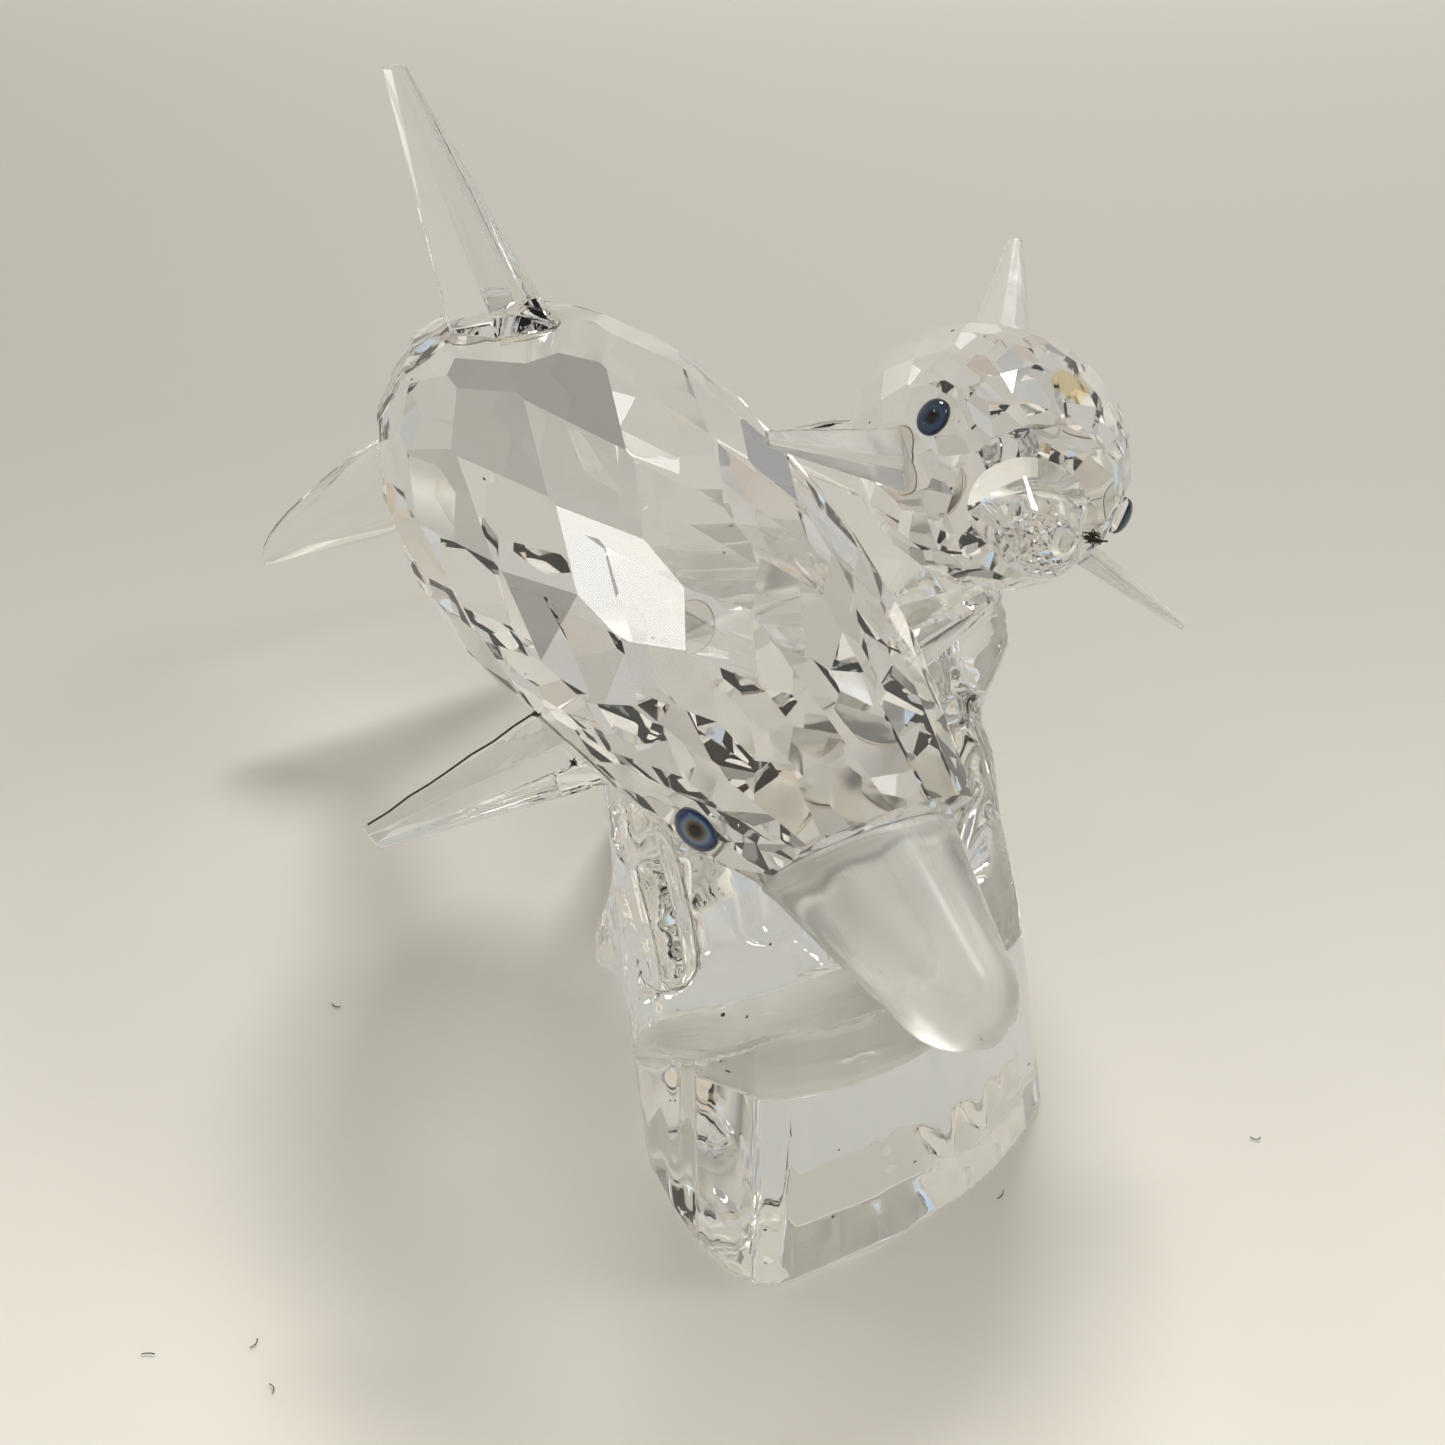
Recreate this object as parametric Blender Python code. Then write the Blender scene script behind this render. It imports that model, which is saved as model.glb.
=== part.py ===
"""Dolphin mother and calf in cut clear glass, glued on a moulded glass wave. Metres, +Z up.

+X runs from the wave's back to its flat front, +Y to the mother's left, where the calf swims.
"""

import math

import bmesh
import bpy
from mathutils import Matrix, Vector

for old in list(bpy.data.objects):
    bpy.data.objects.remove(old, do_unlink=True)

MM = 0.001

# Film of glue between two glued faces, and between a body and the round seat ground for it
GLUE_GAP = 0.1 * MM
SEAT_CLEARANCE = 0.25 * MM

# Mother's body: a ground egg, blunt where the beak and the tail are glued
MOTHER_BEHIND = 15.5 * MM
MOTHER_ASIDE = 5.2 * MM
MOTHER_HEIGHT = 48.3 * MM
MOTHER_PLACE = Vector((-MOTHER_BEHIND, -MOTHER_ASIDE, MOTHER_HEIGHT))
MOTHER_ROLL = -3.6
MOTHER_FRONT = 55 * MM
MOTHER_REAR = 35.2 * MM
MOTHER_HALF_WIDTH = 18 * MM
MOTHER_HALF_HEIGHT = 15.4 * MM
MOTHER_BEAK_CUT = 49.5 * MM
MOTHER_BEAK_CUT_DIP = 33
MOTHER_BEAK_DROP = 3.2 * MM
MOTHER_TAIL_CUT = 30.5 * MM
MOTHER_TAIL_DIP = 16
MOTHER_ROWS = ((-25, 12), (-17.5, 14), (-8.5, 14), (1.5, 14), (13, 14), (26, 14), (39, 14))

# Mother's beak: pressed frosted glass with soft ridges along it
MOTHER_BEAK_LENGTH = 18.5 * MM
MOTHER_BEAK_BASE = 8.2 * MM
MOTHER_BEAK_TIP = 3.9 * MM
MOTHER_BEAK_RIDGE = 0.35 * MM

# Mother's fins: tapered blades with one ridge along each side
MOTHER_DORSAL_AT = -16 * MM
MOTHER_DORSAL_TURN = -12
MOTHER_DORSAL_TWIST = 38
MOTHER_DORSAL_LENGTH = 30 * MM
MOTHER_DORSAL_ROOT = 12 * MM
MOTHER_DORSAL_TIP = 2.8 * MM
MOTHER_DORSAL_THICK = 5 * MM
MOTHER_RIGHT_PECTORAL_AT = 24.5 * MM
MOTHER_RIGHT_PECTORAL_TURN = 121
MOTHER_RIGHT_PECTORAL_LENGTH = 19.3 * MM
MOTHER_LEFT_PECTORAL_AT = 28 * MM
MOTHER_LEFT_PECTORAL_TURN = 98
MOTHER_LEFT_PECTORAL_LENGTH = 13 * MM
MOTHER_PECTORAL_ROOT = 11.5 * MM
MOTHER_PECTORAL_TIP = 3.4 * MM
MOTHER_PECTORAL_THICK = 4 * MM

# Mother's tail: a smooth pressed stock that bends down into two lobes
MOTHER_STOCK_HALF_WIDTH = 5 * MM
MOTHER_STOCK_HALF_HEIGHT = 6.5 * MM
MOTHER_STOCK_LENGTH = 24 * MM
MOTHER_TAIL_BEND = 75
MOTHER_FLUKE_HALF_SPAN = 20 * MM
MOTHER_FLUKE_CHORD = 12 * MM
MOTHER_TAIL_THICK = 3.4 * MM

# Eyes: round glass domes with a flat back
MOTHER_EYE_AT = 43 * MM
MOTHER_EYE_TURN = 103
MOTHER_EYE_RADIUS = 2.05 * MM
MOTHER_EYE_DOME = 1.5 * MM
CALF_EYE_AT = 11.3 * MM
CALF_EYE_TURN = 85
CALF_EYE_RADIUS = 1.75 * MM
CALF_EYE_DOME = 1.3 * MM

# Calf's body, turned towards the mother's path and lying over to its left
CALF_BEHIND = 2.2 * MM
CALF_ASIDE = 29.5 * MM
CALF_HEIGHT = 52.7 * MM
CALF_PLACE = Vector((-CALF_BEHIND, CALF_ASIDE, CALF_HEIGHT))
CALF_YAW = -18
CALF_PITCH = -21
CALF_ROLL = -31
CALF_FRONT = 20 * MM
CALF_REAR = 29 * MM
CALF_RADIUS = 12.1 * MM
CALF_BEAK_CUT = 16.4 * MM
CALF_BEAK_CUT_DIP = 20
CALF_BEAK_DROP = 2.2 * MM
CALF_TAIL_CUT = 26 * MM
CALF_ROWS = (
    (-23, 10), (-19, 14), (-14, 16), (-9, 16), (-4, 16), (1, 16), (5.5, 16), (10, 16), (14, 12),
)

# Calf's beak, fins and tail
CALF_BEAK_LENGTH = 9 * MM
CALF_BEAK_BASE = 5.4 * MM
CALF_BEAK_TIP = 3 * MM
CALF_BEAK_RIDGE = 0.2 * MM
CALF_DORSAL_AT = -9.5 * MM
CALF_DORSAL_TURN = -9
CALF_DORSAL_TWIST = 40
CALF_DORSAL_LENGTH = 12.8 * MM
CALF_DORSAL_ROOT = 6.5 * MM
CALF_DORSAL_TIP = 1.6 * MM
CALF_DORSAL_THICK = 2.8 * MM
CALF_PECTORAL_AT = 8.9 * MM
CALF_PECTORAL_TURN = 111
CALF_RIGHT_PECTORAL_LENGTH = 15 * MM
CALF_LEFT_PECTORAL_LENGTH = 12.3 * MM
CALF_PECTORAL_ROOT = 6 * MM
CALF_PECTORAL_TIP = 1.6 * MM
CALF_PECTORAL_THICK = 2.6 * MM
CALF_STOCK_HALF_WIDTH = 3 * MM
CALF_STOCK_HALF_HEIGHT = 3.6 * MM
CALF_STOCK_LENGTH = 11 * MM
CALF_TAIL_BEND = 70
CALF_FLUKE_HALF_SPAN = 11 * MM
CALF_FLUKE_CHORD = 8 * MM
CALF_TAIL_THICK = 2.2 * MM

# How deep a flat is ground for what is glued on it
FIN_SEAT_DEPTH = 0.8 * MM
CALF_FIN_SEAT_DEPTH = 0.5 * MM
EYE_SEAT_DEPTH = 0.35 * MM

# Wave: plan outline at the floor, as (X, left edge, right edge) from back to front, in millimetres
WAVE_OUTLINE = (
    (-30, 4, 12), (-28, 0.5, 17), (-22, -2.4, 23), (-12, -6.2, 26.5), (0, -10.4, 26), (8, -13.3, 23.8),
    (15, -16.2, 22.6), (20, -18.2, 22), (26, -18.6, 21), (30.6, -18.3, 19.5), (33.2, -17.6, 16),
    (35.4, -16.8, 12), (37, -15.9, 7.4), (38, -14.8, 2), (38.5, -13.2, -2),
)
# Wave: how far its left rim and its middle lie under the mother's middle, and its right rim under
# the calf's, since the wave is built up to the two that it carries, in millimetres
WAVE_TOP_UNDER = (
    (-30, 33.3, 34.3, 36.7), (-26, 23.3, 24.3, 20.7), (-20, 18.3, 19.3, 13.7), (-10, 16.3, 17.3, 10.7),
    (-4, 15.8, 17.3, 11.7), (0, 15.3, 16.8, 14.2), (5, 15.8, 17.3, 15.2), (7.5, 17.3, 17.8, 17.2),
    (9, 18.8, 18.3, 20.2), (11, 21.3, 19.3, 21.2), (14, 26.8, 24.3, 21.7), (15.6, 31.8, 29.8, 22.7),
    (17.5, 33.7, 34.1, 24.2), (20, 32, 35.1, 25.2), (22, 30.1, 34.7, 25.9), (26, 26.3, 32.7, 26.7),
    (30, 22.8, 28.8, 26.7), (33, 19.8, 24.8, 25.7), (36.5, 16.3, 18.8, 23.9), (38.5, 14.8, 16.8, 22.9),
)
WAVE_LEAN_IN = 0.2
WAVE_LEFT_LEAN = 0.075
WAVE_LEFT_LEAN_TO = 28 * MM
WAVE_LEAN_FROM = 12 * MM
WAVE_LEAN_FULL = 30 * MM
WAVE_CREST_FROM = 11 * MM
WAVE_CREST_HEIGHT = 31.5 * MM
WAVE_OVERHANG = 1.05
WAVE_EDGE_RADIUS = 1.6 * MM
WAVE_CURL_AT = -3 * MM
WAVE_CURL_HEIGHT = 5.5 * MM
WAVE_CURL_REACH = 3.6 * MM
WAVE_CURL_SPREAD = 4.5 * MM
WAVE_SECTIONS = 64
WAVE_TOP_POINTS = 25

# How finely the round pieces are skinned
BEAK_SECTIONS = 18
BEAK_POINTS = 40
TAIL_SECTIONS = 30
TAIL_POINTS = 44


def glass(name, tint, roughness):
    """Clear or coloured glass for one part."""
    material = bpy.data.materials.new(name)
    material.use_nodes = True
    shader = material.node_tree.nodes["Principled BSDF"]
    shader.inputs["Base Color"].default_value = (*tint, 1)
    shader.inputs["Roughness"].default_value = roughness
    shader.inputs["Metallic"].default_value = 0
    shader.inputs["IOR"].default_value = 1.55
    shader.inputs["Transmission Weight"].default_value = 1
    return material


CUT_GLASS = glass("cut_clear_glass", (0.97, 0.98, 0.98), 0.0)
MOULDED_GLASS = glass("moulded_clear_glass", (0.95, 0.97, 0.96), 0.02)
FROSTED_GLASS = glass("frosted_pressed_glass", (0.92, 0.93, 0.91), 0.25)
EYE_GLASS = glass("blue_eye_glass", (0.03, 0.09, 0.22), 0.02)


def add_object(name, bm, material, place=None):
    """Close a bmesh into a named object whose place is kept in its mesh."""
    bmesh.ops.remove_doubles(bm, verts=bm.verts[:], dist=2e-6)
    bmesh.ops.recalc_face_normals(bm, faces=bm.faces[:])
    if place is not None:
        bm.transform(place)
    mesh = bpy.data.meshes.new(name)
    bm.to_mesh(mesh)
    bm.free()
    mesh.materials.append(material)
    made = bpy.data.objects.new(name, mesh)
    bpy.context.scene.collection.objects.link(made)
    return made


def pose(place, yaw, pitch, roll):
    """Body frame with +X to the beak and +Z to the back. A positive pitch dips the beak."""
    return (
        Matrix.Translation(place)
        @ Matrix.Rotation(math.radians(yaw), 4, "Z")
        @ Matrix.Rotation(math.radians(pitch), 4, "Y")
        @ Matrix.Rotation(math.radians(roll), 4, "X")
    )


class Egg:
    """The smooth egg that a body's facets touch: front and rear lengths, half width and half height."""

    def __init__(self, front, rear, half_width, half_height):
        self.front = front
        self.rear = rear
        self.half_width = half_width
        self.half_height = half_height

    def touch(self, along, turn, depth=0):
        """Point and outward normal at this length along the axis, turned from the back (90 is the left side)."""
        reach = self.front if along > 0 else self.rear
        ring = math.sqrt(1 - (along / reach) ** 2)
        angle = math.radians(turn)
        point = Vector((
            along,
            self.half_width * ring * math.sin(angle),
            self.half_height * ring * math.cos(angle),
        ))
        normal = Vector((
            point.x / reach**2,
            point.y / self.half_width**2,
            point.z / self.half_height**2,
        )).normalized()
        return point - normal * depth, normal


def facet_rows(egg, rows):
    """Tangent planes in staggered rows round the egg."""
    planes = []
    for number, (along, count) in enumerate(rows):
        for step in range(round(count)):
            turn = 360 * (step + 0.5 * (number % 2)) / round(count)
            planes.append(egg.touch(along * MM, turn))
    return planes


def grind(name, egg, planes, material, place):
    """Grind a block flat along each plane, as on a cutter's lap, and keep what is inside them all."""
    bm = bmesh.new()
    bmesh.ops.create_cube(bm, size=4 * max(egg.front, egg.rear))
    for point, normal in planes:
        whole = bm.verts[:] + bm.edges[:] + bm.faces[:]
        cut = bmesh.ops.bisect_plane(
            bm, geom=whole, dist=1e-7, plane_co=point, plane_no=normal, clear_outer=True
        )
        rim = [part for part in cut["geom_cut"] if isinstance(part, bmesh.types.BMEdge)]
        if len(rim) > 2:
            bmesh.ops.edgeloop_fill(bm, edges=rim)
    return add_object(name, bm, material, place)


def loft(name, rings, material, place=None):
    """Skin a row of closed rings with as many points each, and close both ends."""
    bm = bmesh.new()
    rows = [[bm.verts.new(point) for point in ring] for ring in rings]
    for first, second in zip(rows, rows[1:]):
        for index in range(len(first)):
            following = (index + 1) % len(first)
            bm.faces.new((first[index], first[following], second[following], second[index]))
    bm.faces.new(rows[0][::-1])
    bm.faces.new(rows[-1])
    return add_object(name, bm, material, place)


def blade(name, seat, chord_way, reach, length, root, tip, thickness, material, place):
    """Tapered fin with a flattened hexagon section, its root flat on the seat and its tip cut off."""
    centre, normal = seat
    chord = (chord_way - normal * chord_way.dot(normal)).normalized()
    across = normal.cross(chord)
    start = centre + normal * GLUE_GAP
    end = start + reach.normalized() * length
    rings = []
    for middle, width, deep in ((start, root, thickness), (end, tip, thickness * tip / root * 1.4)):
        blunt = 0.1 * deep
        outline = (
            (0.5 * width, -blunt), (0.5 * width, blunt), (0.08 * width, 0.5 * deep),
            (-0.5 * width, blunt), (-0.5 * width, -blunt), (0.08 * width, -0.5 * deep),
        )
        rings.append([middle + chord * along + across * side for along, side in outline])
    return loft(name, rings, material, place)


def beak(name, seat, way, length, base_radius, tip_radius, ridge, material, place):
    """Blunt tapered beak with a round end and soft ridges, its root flat on the seat."""
    base, normal = seat
    way = way.normalized()
    left = Vector((0, 1, 0))
    rings = []
    for section in range(BEAK_SECTIONS + 1):
        along = section / BEAK_SECTIONS
        radius = base_radius + (tip_radius - base_radius) * along**0.9
        radius *= math.sqrt(max(0.03, 1 - max(0, (along - 0.78) / 0.22) ** 2))
        middle = base + normal * GLUE_GAP + way * along * length
        facing = normal.lerp(way, min(1, along * 1.6)).normalized()
        upward = facing.cross(left).normalized()
        ring = []
        for step in range(BEAK_POINTS):
            angle = 2 * math.pi * step / BEAK_POINTS
            wave = ridge * math.cos(8 * angle) * (1 - along) * min(1, along * 5)
            across = left * (radius + wave) * math.cos(angle)
            ring.append(middle + across + upward * (radius + wave) * 0.9 * math.sin(angle))
        rings.append(ring)
    return loft(name, rings, material, place)


def tail(name, seat, stock, bend, stock_width, stock_height, half_span, chord, thickness, material, place):
    """Round stock that bends down and widens into a fluke with two swept lobes."""
    base, back = seat
    left = Vector((0, 1, 0))
    length = stock + chord
    rings = []
    middle = base + back * GLUE_GAP
    heading = back.copy()
    turn = Matrix.Rotation(math.radians(-bend / TAIL_SECTIONS), 4, left)
    for section in range(TAIL_SECTIONS + 1):
        along = section / TAIL_SECTIONS
        spread = min(1, max(0, (along * length - stock) / chord))
        waist = 1 - 0.45 * math.sin(math.pi / 2 * min(1, along * length / stock))
        half_width = stock_width * waist + (half_span - stock_width * waist) * (1 - (1 - spread) ** 2.2)
        flat = min(1, along * length / stock) ** 1.5
        half_height = stock_height * (1 - flat) + 0.5 * thickness * flat
        half_height *= 1 - 0.55 * spread
        above = heading.cross(left)
        ring = []
        for step in range(TAIL_POINTS):
            angle = 2 * math.pi * step / TAIL_POINTS
            side = half_width * math.cos(angle)
            share = abs(math.cos(angle)) * min(1, spread * 3)
            sweep = 0.75 * chord * spread * share**2 * (1 - 0.55 * spread)
            height = half_height * math.sin(angle) * (1 - 0.55 * share**2)
            ring.append(middle + left * side + above * height + heading * sweep)
        rings.append(ring)
        middle = middle + heading * (length / TAIL_SECTIONS)
        heading = (turn @ heading).normalized()
    return loft(name, rings, material, place)


def eye(name, seat, radius, dome, material, place):
    """Domed eye with its flat back on the seat."""
    centre, normal = seat
    ahead = Vector((1, 0, 0))
    across = normal.cross(ahead).normalized()
    along = across.cross(normal)
    rings = []
    for level in range(7):
        lift = math.radians(84 * level / 6)
        ring = []
        for step in range(32):
            angle = 2 * math.pi * step / 32
            spoke = along * math.cos(angle) + across * math.sin(angle)
            ring.append(
                centre
                + normal * (GLUE_GAP + 0.25 * dome + 0.75 * dome * math.sin(lift))
                + spoke * radius * math.cos(lift)
            )
        rings.append(ring)
    rings.insert(0, [point - normal * 0.25 * dome for point in rings[0]])
    return loft(name, rings, material, place)


def read_row(table, x):
    """Values of a table's columns at x, eased between its rows."""
    if x <= table[0][0]:
        return table[0][1:]
    for low, high in zip(table, table[1:]):
        if x <= high[0]:
            share = (x - low[0]) / (high[0] - low[0])
            return [a + (b - a) * share for a, b in zip(low[1:], high[1:])]
    return table[-1][1:]


# Mother: seats for all that is glued on the body, then the ground body itself
mother_pose = pose(MOTHER_PLACE, 0, 0, MOTHER_ROLL)
mother_egg = Egg(MOTHER_FRONT, MOTHER_REAR, MOTHER_HALF_WIDTH, MOTHER_HALF_HEIGHT)
mother_seats = {
    "dorsal": mother_egg.touch(MOTHER_DORSAL_AT, MOTHER_DORSAL_TURN, FIN_SEAT_DEPTH),
    "right_pectoral": mother_egg.touch(MOTHER_RIGHT_PECTORAL_AT, -MOTHER_RIGHT_PECTORAL_TURN, FIN_SEAT_DEPTH),
    "left_pectoral": mother_egg.touch(MOTHER_LEFT_PECTORAL_AT, MOTHER_LEFT_PECTORAL_TURN, FIN_SEAT_DEPTH),
    "right_eye": mother_egg.touch(MOTHER_EYE_AT, -MOTHER_EYE_TURN, EYE_SEAT_DEPTH),
    "left_eye": mother_egg.touch(MOTHER_EYE_AT, MOTHER_EYE_TURN - 6, EYE_SEAT_DEPTH),
}
dip = math.radians(MOTHER_BEAK_CUT_DIP)
mother_beak_seat = (Vector((MOTHER_BEAK_CUT, 0, -MOTHER_BEAK_DROP)), Vector((math.cos(dip), 0, -math.sin(dip))))
dip = math.radians(MOTHER_TAIL_DIP)
mother_tail_seat = (Vector((-MOTHER_TAIL_CUT, 0, 0)), Vector((-math.cos(dip), 0, -math.sin(dip))))
mother_planes = facet_rows(mother_egg, MOTHER_ROWS)
mother_planes += list(mother_seats.values()) + [mother_beak_seat, mother_tail_seat]
mother_body = grind("mother_body", mother_egg, mother_planes, CUT_GLASS, mother_pose)

beak(
    "mother_beak", mother_beak_seat, Vector((0.95, 0.1, -0.29)), MOTHER_BEAK_LENGTH,
    MOTHER_BEAK_BASE, MOTHER_BEAK_TIP, MOTHER_BEAK_RIDGE, FROSTED_GLASS, mother_pose,
)
FORWARD = Vector((1, 0, 0))
twist = math.radians(MOTHER_DORSAL_TWIST)
blade(
    "mother_dorsal_fin", mother_seats["dorsal"], Vector((math.cos(twist), math.sin(twist), 0)),
    Vector((-0.8, -0.06, 0.6)), MOTHER_DORSAL_LENGTH, MOTHER_DORSAL_ROOT, MOTHER_DORSAL_TIP,
    MOTHER_DORSAL_THICK, CUT_GLASS, mother_pose,
)
blade(
    "mother_right_pectoral_fin", mother_seats["right_pectoral"], FORWARD, Vector((-0.25, -0.87, -0.42)),
    MOTHER_RIGHT_PECTORAL_LENGTH, MOTHER_PECTORAL_ROOT, MOTHER_PECTORAL_TIP, MOTHER_PECTORAL_THICK,
    CUT_GLASS, mother_pose,
)
mother_left_pectoral = blade(
    "mother_left_pectoral_fin", mother_seats["left_pectoral"], FORWARD, Vector((-0.18, 0.97, 0.13)),
    MOTHER_LEFT_PECTORAL_LENGTH, MOTHER_PECTORAL_ROOT, MOTHER_PECTORAL_TIP, MOTHER_PECTORAL_THICK,
    CUT_GLASS, mother_pose,
)
tail(
    "mother_tail", mother_tail_seat, MOTHER_STOCK_LENGTH, MOTHER_TAIL_BEND,
    MOTHER_STOCK_HALF_WIDTH, MOTHER_STOCK_HALF_HEIGHT, MOTHER_FLUKE_HALF_SPAN,
    MOTHER_FLUKE_CHORD, MOTHER_TAIL_THICK, MOULDED_GLASS, mother_pose,
)
for side in ("right", "left"):
    eye(
        f"mother_{side}_eye", mother_seats[f"{side}_eye"], MOTHER_EYE_RADIUS, MOTHER_EYE_DOME,
        EYE_GLASS, mother_pose,
    )

# Calf: the same build at its own sizes
calf_pose = pose(CALF_PLACE, CALF_YAW, CALF_PITCH, CALF_ROLL)
calf_egg = Egg(CALF_FRONT, CALF_REAR, CALF_RADIUS, CALF_RADIUS)
calf_seats = {
    "dorsal": calf_egg.touch(CALF_DORSAL_AT, CALF_DORSAL_TURN, CALF_FIN_SEAT_DEPTH),
    "right_pectoral": calf_egg.touch(CALF_PECTORAL_AT, -CALF_PECTORAL_TURN, CALF_FIN_SEAT_DEPTH),
    "left_pectoral": calf_egg.touch(CALF_PECTORAL_AT, CALF_PECTORAL_TURN, CALF_FIN_SEAT_DEPTH),
    "right_eye": calf_egg.touch(CALF_EYE_AT, -CALF_EYE_TURN, EYE_SEAT_DEPTH),
    "left_eye": calf_egg.touch(CALF_EYE_AT, CALF_EYE_TURN, EYE_SEAT_DEPTH),
}
dip = math.radians(CALF_BEAK_CUT_DIP)
calf_beak_seat = (Vector((CALF_BEAK_CUT, 0, -CALF_BEAK_DROP)), Vector((math.cos(dip), 0, -math.sin(dip))))
calf_tail_seat = (Vector((-CALF_TAIL_CUT, 0, 0)), Vector((-1, 0, 0)))
calf_planes = facet_rows(calf_egg, CALF_ROWS)
calf_planes += list(calf_seats.values()) + [calf_beak_seat, calf_tail_seat]
calf_body = grind("calf_body", calf_egg, calf_planes, CUT_GLASS, calf_pose)

beak(
    "calf_beak", calf_beak_seat, Vector((0.95, 0.04, -0.3)), CALF_BEAK_LENGTH,
    CALF_BEAK_BASE, CALF_BEAK_TIP, CALF_BEAK_RIDGE, MOULDED_GLASS, calf_pose,
)
twist = math.radians(CALF_DORSAL_TWIST)
blade(
    "calf_dorsal_fin", calf_seats["dorsal"], Vector((math.cos(twist), math.sin(twist), 0)),
    Vector((-0.68, -0.06, 0.72)), CALF_DORSAL_LENGTH, CALF_DORSAL_ROOT, CALF_DORSAL_TIP,
    CALF_DORSAL_THICK, CUT_GLASS, calf_pose,
)
calf_right_pectoral = blade(
    "calf_right_pectoral_fin", calf_seats["right_pectoral"], Vector((0.5, 0.2, -0.8)),
    Vector((0.38, -0.9, -0.24)), CALF_RIGHT_PECTORAL_LENGTH, CALF_PECTORAL_ROOT, CALF_PECTORAL_TIP,
    CALF_PECTORAL_THICK, CUT_GLASS, calf_pose,
)
blade(
    "calf_left_pectoral_fin", calf_seats["left_pectoral"], FORWARD, Vector((0.06, 0.99, -0.14)),
    CALF_LEFT_PECTORAL_LENGTH, CALF_PECTORAL_ROOT, CALF_PECTORAL_TIP, CALF_PECTORAL_THICK,
    CUT_GLASS, calf_pose,
)
tail(
    "calf_tail", calf_tail_seat, CALF_STOCK_LENGTH, CALF_TAIL_BEND,
    CALF_STOCK_HALF_WIDTH, CALF_STOCK_HALF_HEIGHT, CALF_FLUKE_HALF_SPAN,
    CALF_FLUKE_CHORD, CALF_TAIL_THICK, MOULDED_GLASS, calf_pose,
)
for side in ("right", "left"):
    eye(
        f"calf_{side}_eye", calf_seats[f"{side}_eye"], CALF_EYE_RADIUS, CALF_EYE_DOME,
        EYE_GLASS, calf_pose,
    )


def wave_section(x):
    """Closed outline of the wave across X, with rounded top edges and the crest leaning outwards."""
    left, right = (value * MM for value in read_row(WAVE_OUTLINE, x / MM))
    left_under, middle_under, right_under = (value * MM for value in read_row(WAVE_TOP_UNDER, x / MM))
    left_rim = MOTHER_HEIGHT - left_under
    middle = MOTHER_HEIGHT - middle_under
    right_rim = CALF_HEIGHT - right_under
    left_lean = WAVE_LEFT_LEAN * max(0, min(1, (WAVE_LEFT_LEAN_TO - x) / (10 * MM)))
    ring = [Vector((x, left, 0)), Vector((x, right, 0))]

    def lean(height):
        share = (x - WAVE_LEAN_FROM) / (WAVE_LEAN_FULL - WAVE_LEAN_FROM)
        inward = -WAVE_LEAN_IN * height * max(0, min(1, share))
        crest = max(0, min(1, (WAVE_CREST_FROM - x) / (5 * MM)))
        return inward + crest * WAVE_OVERHANG * max(0, height - WAVE_CREST_HEIGHT)

    for step in range(1, 8):
        height = (right_rim - WAVE_EDGE_RADIUS) * step / 7
        ring.append(Vector((x, right + lean(height), height)))
    for step in range(WAVE_TOP_POINTS):
        share = step / (WAVE_TOP_POINTS - 1)
        across = 1 - share
        saddle = 4 * (across - 0.5) ** 2
        rim = right_rim if across > 0.5 else left_rim
        height = middle + (rim - middle) * saddle
        edge = min(across, share) * (right - left)
        drop = WAVE_EDGE_RADIUS * max(0, 1 - edge / WAVE_EDGE_RADIUS) ** 2
        height -= drop
        y = left + (right - left) * across
        y += lean(height) * across**3 - left_lean * left_rim * share**3
        ring.append(Vector((x, y, height)))
    for step in range(13, 0, -1):
        height = (left_rim - WAVE_EDGE_RADIUS) * step / 13
        away = ((x - WAVE_CURL_AT) ** 2 + (height - WAVE_CURL_HEIGHT) ** 2) / WAVE_CURL_SPREAD**2
        curl = WAVE_CURL_REACH * math.exp(-away)
        ring.append(Vector((x, left - left_lean * height - curl, height)))
    return ring


# Wave: sections from the hidden back to the flat front, with a soft front edge
wave_back = WAVE_OUTLINE[0][0] * MM
wave_front = WAVE_OUTLINE[-1][0] * MM
sections = []
for number in range(WAVE_SECTIONS + 1):
    share = number / WAVE_SECTIONS
    eased = share + 0.12 * math.sin(2 * math.pi * share) / math.pi
    sections.append(wave_section(wave_back + (wave_front - wave_back) * eased))
wave = loft("wave_base", sections, MOULDED_GLASS)


def hollow(target, egg_shape, place, name):
    """Grind a glued seat for a body into another piece, a little wider than the body."""
    cutter = bpy.data.objects.new(name, egg_shape.data.copy())
    bpy.context.scene.collection.objects.link(cutter)
    middle = place.translation
    for vertex in cutter.data.vertices:
        away = vertex.co - middle
        vertex.co = middle + away * (1 + SEAT_CLEARANCE / away.length)
    cutter.hide_render = True
    cutter.display_type = "WIRE"
    cut = target.modifiers.new(name, "BOOLEAN")
    cut.operation = "DIFFERENCE"
    cut.solver = "EXACT"
    cut.object = cutter
    return cutter


hollow(wave, mother_body, mother_pose, "mother_seat_cutter")
hollow(wave, calf_body, calf_pose, "calf_seat_cutter")
hollow(mother_left_pectoral, calf_body, calf_pose, "calf_side_cutter")
hollow(calf_right_pectoral, mother_body, mother_pose, "mother_side_cutter")

# Stand the figure on the floor with its middle over the origin
bpy.context.view_layer.update()
corners = [
    made.matrix_world @ vertex.co
    for made in bpy.data.objects
    if not made.hide_render
    for vertex in made.data.vertices
]
low = [min(corner[axis] for corner in corners) for axis in range(3)]
high = [max(corner[axis] for corner in corners) for axis in range(3)]
shift = Matrix.Translation((-(low[0] + high[0]) / 2, -(low[1] + high[1]) / 2, -low[2]))
for made in bpy.data.objects:
    made.data.transform(shift)
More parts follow.
